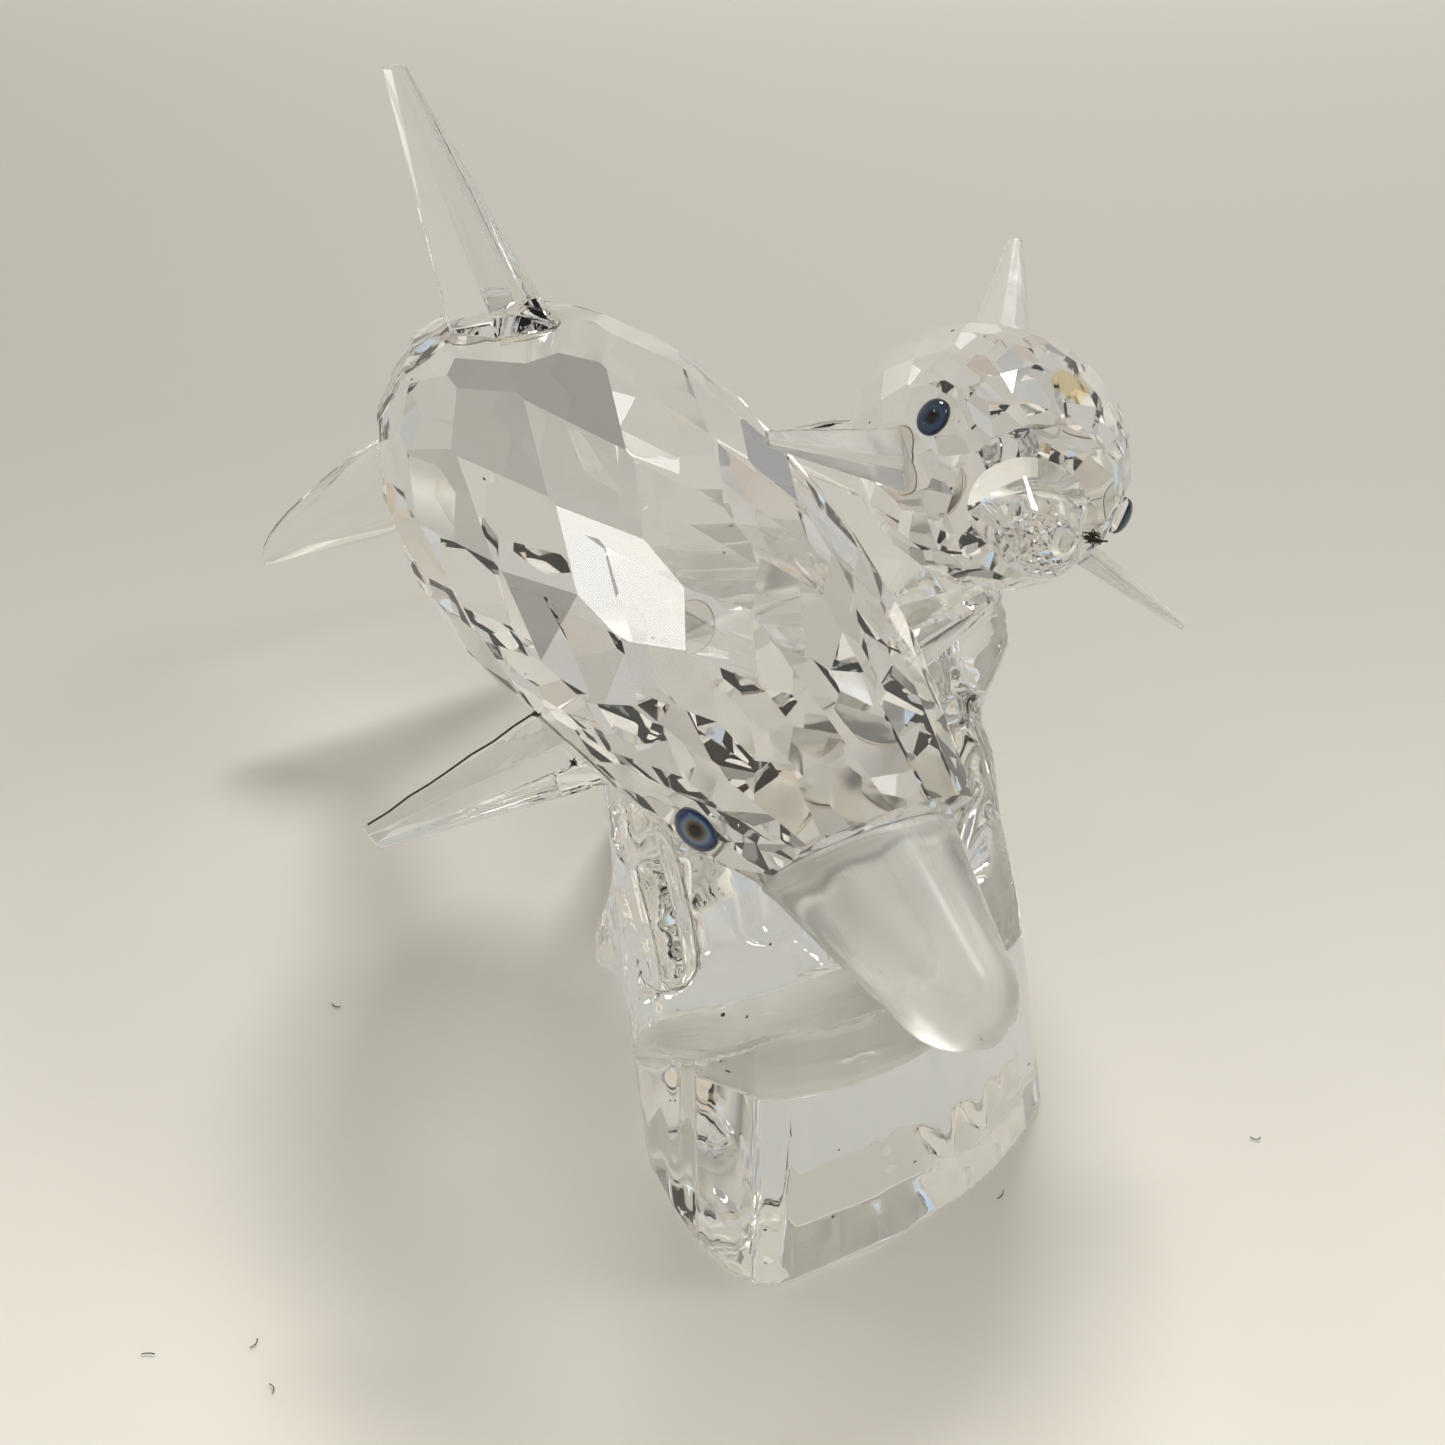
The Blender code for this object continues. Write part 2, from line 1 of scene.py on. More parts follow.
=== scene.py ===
"""Looks for a cut glass dolphin and her calf on a moulded glass wave. Metres, +Z up."""

import math
import random

import bmesh
import bpy
from mathutils import Matrix, Vector, noise
from mathutils.bvhtree import BVHTree


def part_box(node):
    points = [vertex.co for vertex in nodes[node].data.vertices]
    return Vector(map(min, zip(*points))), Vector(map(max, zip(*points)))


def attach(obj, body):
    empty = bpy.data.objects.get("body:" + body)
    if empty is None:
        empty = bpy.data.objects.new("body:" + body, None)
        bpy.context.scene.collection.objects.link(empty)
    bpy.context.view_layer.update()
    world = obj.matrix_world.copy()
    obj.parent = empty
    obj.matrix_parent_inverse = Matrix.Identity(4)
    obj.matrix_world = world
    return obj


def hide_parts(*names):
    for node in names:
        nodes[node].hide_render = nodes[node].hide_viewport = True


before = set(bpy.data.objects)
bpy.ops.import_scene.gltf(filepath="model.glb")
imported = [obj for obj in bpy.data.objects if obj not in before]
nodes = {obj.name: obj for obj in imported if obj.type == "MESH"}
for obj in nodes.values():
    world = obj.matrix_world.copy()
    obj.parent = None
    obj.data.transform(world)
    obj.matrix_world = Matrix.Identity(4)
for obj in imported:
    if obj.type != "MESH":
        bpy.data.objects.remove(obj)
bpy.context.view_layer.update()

# Camera. It looks down at the group from ahead and from the large dolphin's right, from close by,
# with the frame of a square picture.
EYE_POINT = Vector((0.14143, -0.07237, 0.1497))
LOOK_TURN = math.radians(63)
LOOK_DOWN = math.radians(38)
LENS = 49.83
SENSOR_WIDTH = 36

forward = Vector((
    -math.sin(LOOK_TURN) * math.cos(LOOK_DOWN), math.cos(LOOK_TURN) * math.cos(LOOK_DOWN),
    -math.sin(LOOK_DOWN),
))
rightward = Vector((math.cos(LOOK_TURN), math.sin(LOOK_TURN), 0))
upward = rightward.cross(forward)
camera_data = bpy.data.cameras.new("camera")
camera_data.lens = LENS
camera_data.sensor_width = SENSOR_WIDTH
camera_data.clip_start = 0.01
camera = bpy.data.objects.new("camera", camera_data)
camera.matrix_world = Matrix((
    (rightward.x, upward.x, -forward.x, EYE_POINT.x),
    (rightward.y, upward.y, -forward.y, EYE_POINT.y),
    (rightward.z, upward.z, -forward.z, EYE_POINT.z),
    (0, 0, 0, 1),
))
bpy.context.scene.collection.objects.link(camera)
bpy.context.scene.camera = camera


# Floor and backdrop. A pale warm sheet that runs under the group and curves up far behind it.
# Its colour is painted darker from the front to behind the group, painted shade for the fall of the
# light across the paper, and pale again far off where it rises.
def material_of(name):
    """A new material, its nodes and links, and its main shader."""
    made = bpy.data.materials.new(name)
    made.use_nodes = True
    return made, made.node_tree.nodes, made.node_tree.links, made.node_tree.nodes["Principled BSDF"]


def object_from(name, bm, material=None):
    """Turn a bmesh into a named object of the scene, with one material."""
    mesh = bpy.data.meshes.new(name)
    bm.to_mesh(mesh)
    bm.free()
    made = bpy.data.objects.new(name, mesh)
    bpy.context.scene.collection.objects.link(made)
    if material is not None:
        set_material(made, material)
    return made


def set_material(piece, material):
    """Give a piece this one material."""
    piece.data.materials.clear()
    piece.data.materials.append(material)


def fill_ramp(ramp, stops):
    """Set the stops of a new colour ramp, which has two of its own."""
    elements = ramp.color_ramp.elements
    for index, (at, colour) in enumerate(stops):
        stop = elements[index] if index < 2 else elements.new(at)
        stop.position = at
        stop.color = (*colour, 1)


SHEET_RADIUS = 1.5
SHEET_RISE = 0.6
SHEET_RINGS = 14
FLAT_RINGS = 9
SHEET_SIDES = 48
FLOOR_GAP = 0.0001
sheet = bmesh.new()
rings = []
for level in range(SHEET_RINGS):
    reach = SHEET_RADIUS * (level + 1) / SHEET_RINGS
    lift = SHEET_RISE * max(0, (level + 1 - FLAT_RINGS) / (SHEET_RINGS - FLAT_RINGS)) ** 2
    turns = [2 * math.pi * step / SHEET_SIDES for step in range(SHEET_SIDES)]
    rings.append([
        sheet.verts.new((reach * math.cos(turn), reach * math.sin(turn), lift - FLOOR_GAP))
        for turn in turns
    ])
centre = sheet.verts.new((0, 0, -FLOOR_GAP))
for step in range(SHEET_SIDES):
    following = (step + 1) % SHEET_SIDES
    sheet.faces.new((centre, rings[0][step], rings[0][following]))
    for inner, outer in zip(rings, rings[1:]):
        sheet.faces.new((inner[step], outer[step], outer[following], inner[following]))
paper, paper_nodes, paper_links, paper_shader = material_of("warm_paper")
paper_shader.inputs["Roughness"].default_value = 0.75
paper_place = paper_nodes.new("ShaderNodeTexCoord")
paper_away = paper_nodes.new("ShaderNodeVectorMath")
paper_away.operation = "DOT_PRODUCT"
paper_away.inputs[1].default_value = (-math.sin(LOOK_TURN), math.cos(LOOK_TURN), 0)
paper_links.new(paper_place.outputs["Object"], paper_away.inputs[0])
paper_range = paper_nodes.new("ShaderNodeMapRange")
paper_range.inputs["From Min"].default_value = -0.12
paper_range.inputs["From Max"].default_value = 1.08
paper_links.new(paper_away.outputs["Value"], paper_range.inputs["Value"])
paper_ramp = paper_nodes.new("ShaderNodeValToRGB")
paper_ramp.color_ramp.interpolation = "B_SPLINE"
# painted shade: paper greys from the front to far behind, darkest behind the group
PAPER_SHADE_GREYS = (
    (0.0, 0.9), (0.05, 0.74), (0.1, 0.56), (0.14, 0.46), (0.19, 0.39), (0.3, 0.37), (0.4, 0.42),
    (0.55, 0.85), (1.0, 0.9),
)
fill_ramp(paper_ramp, [(at, (grey, grey * 0.965, grey * 0.885)) for at, grey in PAPER_SHADE_GREYS])
paper_links.new(paper_range.outputs["Result"], paper_ramp.inputs["Fac"])
paper_links.new(paper_ramp.outputs["Color"], paper_shader.inputs["Base Color"])
floor = object_from("paper_sheet", sheet, paper)
floor.data.shade_smooth()


# Light. A soft key lamp high behind the group with two bare bulbs beside it, a weaker lamp on the
# right and a small one on the left, in a room with a pale wall and a dark doorway, so that the
# facets have something bright and something dark to show.
LAMPS_AIM = (0, 0, 0.03)
LAMP_TINT = (1, 0.985, 0.955)


def lamp(name, place, width, height, watts, tint=LAMP_TINT):
    """A rectangular lamp that faces the group."""
    data = bpy.data.lights.new(name, "AREA")
    data.shape = "RECTANGLE"
    data.size = width
    data.size_y = height
    data.energy = watts
    data.color = tint
    made = bpy.data.objects.new(name, data)
    bpy.context.scene.collection.objects.link(made)
    made.location = place
    made.rotation_euler = (Vector(LAMPS_AIM) - Vector(place)).to_track_quat("-Z", "Y").to_euler()
    return made


key = lamp("key_lamp", (-0.46, 0.33, 0.69), 0.2, 0.16, 4.7)
# seen through the glass, it would leave burnt patches: two bare bulbs give the sparkle instead
key.visible_transmission = False
lamp("bulb_left", (-0.45, 0.36, 0.71), 0.05, 0.04, 0.35)
lamp("bulb_right", (-0.2, 0.62, 0.6), 0.04, 0.04, 0.25)
lamp("side_lamp", (0.32, 0.55, 0.67), 0.2, 0.16, 1.3)
lamp("window_lamp", (-0.4, -0.4, 0.69), 0.14, 0.12, 0.34, (1, 0.99, 0.97))

world = bpy.data.worlds.new("room")
bpy.context.scene.world = world
world.use_nodes = True
world_nodes = world.node_tree.nodes
world_links = world.node_tree.links
room_light = world_nodes["Background"]
room_place = world_nodes.new("ShaderNodeTexCoord")
room_cells = world_nodes.new("ShaderNodeTexVoronoi")
room_cells.inputs["Scale"].default_value = 3.2
room_cells.inputs["Randomness"].default_value = 0.8
room_ramp = world_nodes.new("ShaderNodeValToRGB")
fill_ramp(room_ramp, (
    (0.0, (0.3, 0.3, 0.31)), (0.24, (0.5, 0.5, 0.52)), (0.4, (0.85, 0.68, 0.46)),
    (0.6, (0.78, 0.76, 0.71)), (0.8, (0.64, 0.87, 1.15)), (1.0, (1.7, 1.64, 1.5)),
))
world_links.new(room_place.outputs["Generated"], room_cells.inputs["Vector"])
world_links.new(room_cells.outputs["Color"], room_ramp.inputs["Fac"])
ROOM_PARTS = (
    # the way to it, cosine at its rim, cosine where it is full, colour: pale wall, dark doorway
    ((-0.76, 0.39, 0.52), 0.62, 0.86, (0.68, 0.665, 0.62, 1)),
    ((0.5, 0.85, 0.15), 0.84, 0.93, (0.22, 0.22, 0.23, 1)),
)
room_colour = room_ramp.outputs["Color"]
for way, rim, full, tint in ROOM_PARTS:
    facing = world_nodes.new("ShaderNodeVectorMath")
    facing.operation = "DOT_PRODUCT"
    facing.inputs[1].default_value = Vector(way).normalized()
    edge = world_nodes.new("ShaderNodeMapRange")
    edge.inputs["From Min"].default_value = rim
    edge.inputs["From Max"].default_value = full
    blend = world_nodes.new("ShaderNodeMix")
    blend.data_type = "RGBA"
    blend.inputs["B"].default_value = tint
    world_links.new(room_place.outputs["Generated"], facing.inputs[0])
    world_links.new(facing.outputs["Value"], edge.inputs["Value"])
    world_links.new(edge.outputs["Result"], blend.inputs["Factor"])
    world_links.new(room_colour, blend.inputs["A"])
    room_colour = blend.outputs["Result"]
world_links.new(room_colour, room_light.inputs["Color"])
room_light.inputs["Strength"].default_value = 0.79

scene = bpy.context.scene
scene.view_settings.view_transform = "Standard"
scene.cycles.max_bounces = 18
scene.cycles.transmission_bounces = 18
scene.cycles.glossy_bounces = 8
scene.cycles.diffuse_bounces = 1
scene.cycles.transparent_max_bounces = 10
scene.cycles.caustics_refractive = True
scene.cycles.caustics_reflective = False
scene.cycles.blur_glossy = 0.6
scene.cycles.sample_clamp_indirect = 6


# Dust film. Patches where the glass is rougher, and a fine unevenness of its surface. The polished
# pieces have the unevenness alone or none.
dust = bpy.data.node_groups.new("dust_film", "ShaderNodeTree")
dust.interface.new_socket("Speck Size", in_out="INPUT", socket_type="NodeSocketFloat")
dust.interface.new_socket("Film", in_out="INPUT", socket_type="NodeSocketFloat")
dust.interface.new_socket("Vector", in_out="INPUT", socket_type="NodeSocketVector")
dust.interface.new_socket("Roughness", in_out="OUTPUT", socket_type="NodeSocketFloat")
dust.interface.new_socket("Height", in_out="OUTPUT", socket_type="NodeSocketFloat")
dust_in = dust.nodes.new("NodeGroupInput")
dust_out = dust.nodes.new("NodeGroupOutput")
dust_patches = dust.nodes.new("ShaderNodeTexNoise")
dust_patches.inputs["Scale"].default_value = 160
dust_patches.inputs["Detail"].default_value = 4
dust.links.new(dust_in.outputs["Vector"], dust_patches.inputs["Vector"])
dust_ease = dust.nodes.new("ShaderNodeMapRange")
dust_ease.inputs["From Min"].default_value = 0.55
dust_ease.inputs["From Max"].default_value = 0.8
dust.links.new(dust_patches.outputs["Fac"], dust_ease.inputs["Value"])
dust_scale = dust.nodes.new("ShaderNodeMath")
dust_scale.operation = "MULTIPLY"
dust.links.new(dust_ease.outputs["Result"], dust_scale.inputs[0])
dust.links.new(dust_in.outputs["Film"], dust_scale.inputs[1])
dust.links.new(dust_scale.outputs["Value"], dust_out.inputs["Roughness"])
dust_grain = dust.nodes.new("ShaderNodeTexNoise")
dust.links.new(dust_in.outputs["Vector"], dust_grain.inputs["Vector"])
dust.links.new(dust_in.outputs["Speck Size"], dust_grain.inputs["Scale"])
dust.links.new(dust_grain.outputs["Fac"], dust_out.inputs["Height"])


# Kinds of glass. All let a share of a lamp's light straight through, so that the group's shadow is
# a pale one; the small fins and the beak are cloudy.
LIGHT_THROUGH = 0.38


def glass(name, tint, ior, film, wave_size, wave_depth, rough=0.0, clear=1.0):
    """Glass with a dust film and a slight unevenness of its surface."""
    made, tree, links, shader = material_of(name)
    shader.inputs["Base Color"].default_value = (*tint, 1)
    shader.inputs["IOR"].default_value = ior
    shader.inputs["Transmission Weight"].default_value = clear
    place = tree.new("ShaderNodeTexCoord")
    film_node = tree.new("ShaderNodeGroup")
    film_node.node_tree = dust
    film_node.inputs["Speck Size"].default_value = wave_size
    film_node.inputs["Film"].default_value = film
    links.new(place.outputs["Object"], film_node.inputs["Vector"])
    if film == 0:
        shader.inputs["Roughness"].default_value = rough
    elif rough:
        raised = tree.new("ShaderNodeMath")
        raised.operation = "ADD"
        raised.inputs[1].default_value = rough
        links.new(film_node.outputs["Roughness"], raised.inputs[0])
        links.new(raised.outputs["Value"], shader.inputs["Roughness"])
    else:
        links.new(film_node.outputs["Roughness"], shader.inputs["Roughness"])
    light = tree.new("ShaderNodeLightPath")
    clearing = tree.new("ShaderNodeMath")
    clearing.operation = "MULTIPLY_ADD"
    clearing.inputs[1].default_value = -LIGHT_THROUGH
    clearing.inputs[2].default_value = 1
    links.new(light.outputs["Is Shadow Ray"], clearing.inputs[0])
    links.new(clearing.outputs["Value"], shader.inputs["Alpha"])
    if wave_depth:
        bump = tree.new("ShaderNodeBump")
        bump.inputs["Distance"].default_value = wave_depth
        bump.inputs["Strength"].default_value = 1
        links.new(film_node.outputs["Height"], bump.inputs["Height"])
        links.new(bump.outputs["Normal"], shader.inputs["Normal"])
    return made


cut_glass = glass("cut_glass", (0.985, 0.99, 0.985), 1.55, 0, 900, 0, clear=0.985)
moulded_glass = glass("moulded_glass", (0.985, 0.99, 0.975), 1.5, 0, 90, 0.00003)
fin_glass = glass("fin_glass", (0.98, 0.985, 0.98), 1.52, 0, 500, 0.00001)
small_fin_glass = glass("small_fin_glass", (0.98, 0.985, 0.975), 1.5, 0.1, 420, 0.00004, 0.16, 0.88)
frosted_glass = glass("frosted_glass", (0.98, 0.98, 0.94), 1.42, 0.1, 900, 0.00006, 0.26, 0.74)

# The frosting is drawn out into ridges along the beak.
BEAK_WAY = Vector((0.86, 0.08, -0.5)).normalized()
RIDGE_STRETCH = 0.06
frosted = frosted_glass.node_tree
ridge_side = BEAK_WAY.orthogonal().normalized()
RIDGE_AXES = (
    ("X", ridge_side), ("Y", BEAK_WAY.cross(ridge_side)), ("Z", BEAK_WAY * RIDGE_STRETCH),
)
ridge_place = frosted.nodes.new("ShaderNodeTexCoord")
ridge_space = frosted.nodes.new("ShaderNodeCombineXYZ")
for axis, way in RIDGE_AXES:
    across = frosted.nodes.new("ShaderNodeVectorMath")
    across.operation = "DOT_PRODUCT"
    across.inputs[1].default_value = way
    frosted.links.new(ridge_place.outputs["Object"], across.inputs[0])
    frosted.links.new(across.outputs["Value"], ridge_space.inputs[axis])
frosted.links.new(ridge_space.outputs["Vector"], frosted.nodes["Group"].inputs["Vector"])


# Cut bodies. Two solid pieces of clear glass, ground flat facet by facet and polished bright. The
# wheel leaves each facet its own faint tone, a few listed facets are darkened as painted shade for
# the dark surroundings seen through them, and old glue has stained the small body.
PALE_TONE = 0.87
TONE_MIDDLE = 0.8
TONE_SWING = 1.6
TONE_FINENESS = 3.5
PAINTED_SHADE_REACH = 0.0075
SAME_WAY = 0.997
# Painted shade: a few listed facets are darkened to stand in for the dark surroundings seen through
# them.
PAINTED_SHADE_FACETS = (
    # the way it faces, a place on it, how much painted shade darkens it
    ((-0.11, -0.32, 0.94), (-0.0141, -0.0172, 0.0621), 0.68),
    ((0.01, -0.13, 0.99), (-0.0053, -0.0133, 0.0634), 0.68),
    ((0.01, -0.51, 0.86), (-0.0046, -0.0199, 0.061), 0.5),
    ((0.17, -0.83, 0.54), (0.0081, -0.025, 0.0558), 0.66),
    ((0.01, -0.84, 0.54), (-0.0069, -0.0235, 0.0587), 0.4),
    ((-0.12, -0.68, 0.72), (-0.0161, -0.0213, 0.0596), 0.2),
    ((0.07, -0.32, 0.94), (0.0058, -0.0158, 0.0623), 0.25),
)


def welded_copy(node, name, weld=2e-6):
    """A copy of a CAD node's triangles with its points joined, to be shaped further."""
    bm = bmesh.new()
    bm.from_mesh(nodes[node].data)
    bmesh.ops.remove_doubles(bm, verts=bm.verts[:], dist=weld)
    bmesh.ops.recalc_face_normals(bm, faces=bm.faces[:])
    return object_from(name, bm)


def facet_tone(face):
    """How much light one flat of a cut piece lets through: a tone of its own, and painted shade on
    a few listed flats.
    """
    way = Vector(round(value, 3) for value in face.normal)
    swing = TONE_MIDDLE + TONE_SWING * noise.noise(way * TONE_FINENESS)
    tone = PALE_TONE + (1 - PALE_TONE) * min(1, max(0, swing))
    # painted shade on the listed facets
    for facing, spot, share in PAINTED_SHADE_FACETS:
        same_way = way.dot(Vector(facing).normalized()) > SAME_WAY
        if same_way and (face.center - Vector(spot)).length < PAINTED_SHADE_REACH:
            tone *= 1 - share
    return tone


tone_read = cut_glass.node_tree.nodes.new("ShaderNodeAttribute")
tone_read.attribute_name = "tone"
cut_glass.node_tree.links.new(
    tone_read.outputs["Color"], cut_glass.node_tree.nodes["Principled BSDF"].inputs["Base Color"]
)
for name in ("mother_body", "calf_body"):
    cut = welded_copy(name, f"{name}_glass")
    tones = cut.data.attributes.new("tone", "FLOAT_COLOR", "FACE")
    for face in cut.data.polygons:
        tone = facet_tone(face)
        tones.data[face.index].color = (tone, tone, tone, 1)
    set_material(cut, cut_glass)
    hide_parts(name)
    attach(cut, "root")

# Stain. The same glass with a ragged patch of brown glue on it, on the flats round one place.
STAIN_PLACE = (0.0161, 0.0256, 0.0652)
STAIN_REACH = 0.0021
STAINED_FLATS = 0.008
stained_glass = cut_glass.copy()
stained_glass.name = "stained_glass"
stained = stained_glass.node_tree
stained_place = stained.nodes.new("ShaderNodeTexCoord")
stained_uneven = stained.nodes.new("ShaderNodeTexNoise")
stained_uneven.inputs["Scale"].default_value = 700
stained_uneven.inputs["Detail"].default_value = 0
stained_away = stained.nodes.new("ShaderNodeVectorMath")
stained_away.operation = "DISTANCE"
stained_away.inputs[1].default_value = STAIN_PLACE
stained_ragged = stained.nodes.new("ShaderNodeMath")
stained_ragged.operation = "MULTIPLY_ADD"
stained_ragged.inputs[1].default_value = STAIN_REACH * 0.8
stained_edge = stained.nodes.new("ShaderNodeMapRange")
stained_edge.inputs["From Min"].default_value = STAIN_REACH * 1.45
stained_edge.inputs["From Max"].default_value = STAIN_REACH * 1.25
stained_shader = stained.nodes["Principled BSDF"]
stained_amber = stained.nodes.new("ShaderNodeMix")
stained_amber.data_type = "RGBA"
stained_amber.inputs["B"].default_value = (0.93, 0.66, 0.28, 1)
stained.links.new(stained_place.outputs["Object"], stained_uneven.inputs["Vector"])
stained.links.new(stained_place.outputs["Object"], stained_away.inputs[0])
stained.links.new(stained_uneven.outputs["Fac"], stained_ragged.inputs[0])
stained.links.new(stained_away.outputs["Value"], stained_ragged.inputs[2])
stained.links.new(stained_ragged.outputs["Value"], stained_edge.inputs["Value"])
stained.links.new(stained_edge.outputs["Result"], stained_amber.inputs["Factor"])
stained.links.new(stained.nodes["Attribute"].outputs["Color"], stained_amber.inputs["A"])
stained.links.new(stained_amber.outputs["Result"], stained_shader.inputs["Base Color"])
cut.data.materials.append(stained_glass)
for face in cut.data.polygons:
    if (face.center - Vector(STAIN_PLACE)).length < STAINED_FLATS and face.normal.z > 0.2:
        face.material_index = 1


def bake(piece):
    """Turn a piece with modifiers into the plain mesh that they give."""
    graph = bpy.context.evaluated_depsgraph_get()
    mesh = bpy.data.meshes.new_from_object(piece.evaluated_get(graph))
    piece.modifiers.clear()
    old = piece.data
    piece.data = mesh
    bpy.data.meshes.remove(old)


# Fins. Tapered blades of pressed glass, their edges softened by the fire, the calf's the most.
FIN_EDGE = 0.00018
CALF_FIN_GRAIN = 0.00016
CALF_FIN_MELT = 5
for owner in ("mother", "calf"):
    for fin in ("dorsal_fin", "right_pectoral_fin", "left_pectoral_fin"):
        name = f"{owner}_{fin}"
        blade = welded_copy(name, f"{name}_glass")
        if owner == "mother":
            soften = blade.modifiers.new("soft_edges", "BEVEL")
            soften.width = FIN_EDGE
            soften.segments = 2
            soften.limit_method = "ANGLE"
            soften.angle_limit = math.radians(12)
        else:
            even = blade.modifiers.new("even", "REMESH")
            even.mode = "VOXEL"
            even.voxel_size = CALF_FIN_GRAIN
            even.use_smooth_shade = True
            melt = blade.modifiers.new("melted_edges", "SMOOTH")
            melt.iterations = CALF_FIN_MELT
        bake(blade)
        set_material(blade, fin_glass if owner == "mother" else small_fin_glass)
        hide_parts(name)
        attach(blade, "root")

# Beaks and tails. Pressed in a mould, smooth all over; the large beak is lightly frosted.
for name, finish in (
    ("mother_beak", frosted_glass), ("calf_beak", fin_glass),
    ("mother_tail", moulded_glass), ("calf_tail", moulded_glass),
):
    form = welded_copy(name, f"{name}_glass")
    form.data.shade_smooth()
    form.data.set_sharp_from_angle(angle=math.radians(40))
    set_material(form, finish)
    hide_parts(name)
    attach(form, "root")


# Glue. A thin film in each joint, rough and a little yellow with age, that swells into a low bead
# round the foot of the piece it holds.
GLUE_FILM = 0.00008
GLUE_BEAD = 0.0005
GLUE_SIDES = 72
glue = glass("aged_glue", (0.96, 0.94, 0.88), 1.49, 0.2, 260, 0.00015, 0.2)
seat_glue = glass("seat_glue", (0.95, 0.93, 0.88), 1.45, 0.3, 420, 0.00025, 0.22, 0.72)
brown_glue = glass("brown_glue", (0.5, 0.34, 0.18), 1.49, 0.2, 260, 0.0001, 0.2)
beak_glue = glass("beak_glue", (0.97, 0.97, 0.95), 1.3, 0.3, 420, 0.0001, 0.3)
amber_glue = glass("amber_glue", (0.95, 0.86, 0.62), 1.49, 0.2, 260, 0.00015, 0.2)


def glue_pad(name, node, body, material, seed):
    """A film with an uneven edge under the foot of one glued piece."""
    mesh = nodes[node].data
    low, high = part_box(body)
    middle = (Vector(low) + Vector(high)) / 2
    feet = {}
    for face in mesh.polygons:
        way = tuple(round(value, 2) for value in face.normal)
        feet.setdefault(way, []).append(face)
    best = None
    for faces in feet.values():
        area = sum(face.area for face in faces)
        spot = sum((face.center * face.area for face in faces), Vector()) / area
        inward = faces[0].normal.dot((middle - spot).normalized())
        if inward > 0.6 and (best is None or (spot - middle).length < best[0]):
            best = ((spot - middle).length, spot, faces)
    spot, faces = best[1:]
    normal = -faces[0].normal
    rim = [mesh.vertices[index].co - spot for face in faces for index in face.vertices]
    across = normal.orthogonal().normalized()
    along = normal.cross(across)
    rng = random.Random(seed)
    waves = [(rng.uniform(0, 6.3), rng.uniform(0.2, 1)) for number in range(5)]
    bm = bmesh.new()
    rings = [[], [], []]
    for step in range(GLUE_SIDES):
        angle = 2 * math.pi * step / GLUE_SIDES
        way = across * math.cos(angle) + along * math.sin(angle)
        reach = max(point.dot(way) for point in rim)
        uneven = sum(
            math.sin((number + 2) * angle + phase) * size
            for number, (phase, size) in enumerate(waves)
        )
        spread = reach * 0.93 + GLUE_BEAD * (0.6 + 0.22 * uneven)
        rings[0].append(bm.verts.new(spot + way * (spread + GLUE_BEAD * 0.3) - normal * GLUE_FILM))
        rings[1].append(bm.verts.new(spot + way * spread - normal * GLUE_FILM * 0.15))
        rings[2].append(bm.verts.new(spot + way * spread * 0.86 - normal * GLUE_FILM * 0.1))
    for inner, outer in ((rings[1], rings[0]), (rings[2], rings[1])):
        for step in range(GLUE_SIDES):
            following = (step + 1) % GLUE_SIDES
            bm.faces.new((inner[step], outer[step], outer[following], inner[following]))
    bm.faces.new(rings[2])
    bm.faces.new(rings[0][::-1])
    bmesh.ops.recalc_face_normals(bm, faces=bm.faces[:])
    pad = object_from(name, bm, material)
    if material is glue:
        # its outer ring has gone brown
        pad.data.materials.append(brown_glue)
        for face in pad.data.polygons[:GLUE_SIDES]:
            face.material_index = 1
    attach(pad, "root")


SEATS = (
    # name, body held, how near the glued faces of the wave are, how thick the glue is, in metres:
    # the calf lies in a ground seat, the mother on a thicker bed
    ("mother_seat_glue", "mother_body", 0.0017, 0.0011),
    ("calf_seat_glue", "calf_body", 0.000306, 0.00018),
)


def seat_film(name, body, reach, fill):
    """The glue between the wave and a body: the wave's nearest flats, thickened towards it."""
    shape = nodes[body].data
    skin = BVHTree.FromPolygons(
        [vertex.co for vertex in shape.vertices], [face.vertices[:] for face in shape.polygons]
    )
    bm = bmesh.new()
    bm.from_mesh(nodes["wave_base"].data)
    bmesh.ops.remove_doubles(bm, verts=bm.verts[:], dist=2e-6)
    away = [face for face in bm.faces if skin.find_nearest(face.calc_center_median())[3] > reach]
    bmesh.ops.delete(bm, geom=away, context="FACES")
    bmesh.ops.solidify(bm, geom=bm.faces[:], thickness=-fill)
    bmesh.ops.recalc_face_normals(bm, faces=bm.faces[:])
    film = object_from(name, bm, seat_glue)
    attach(film, "root")


for seat in SEATS:
    seat_film(*seat)

for seed, (piece, finish) in enumerate((
    ("mother_dorsal_fin", glue), ("mother_right_pectoral_fin", glue),
    ("mother_left_pectoral_fin", glue), ("mother_tail", glue), ("mother_beak", beak_glue),
    ("calf_dorsal_fin", amber_glue), ("calf_right_pectoral_fin", glue),
    ("calf_left_pectoral_fin", glue), ("calf_tail", glue),
)):
    owner = piece.split("_")[0]
    glue_pad(f"{piece}_glue", piece, f"{owner}_body", finish, seed)


# Eyes. Clear glass domes over a painted disc: a black pupil, a brown and blue iris and a dark rim.
IRIS_SHARE = 0.9
IRIS_THICK = 0.00003
IRIS_RINGS = 12
IRIS_SIDES = 48
eye_glass = glass("eye_glass", (1, 1, 1), 1.5, 0, 900, 0)


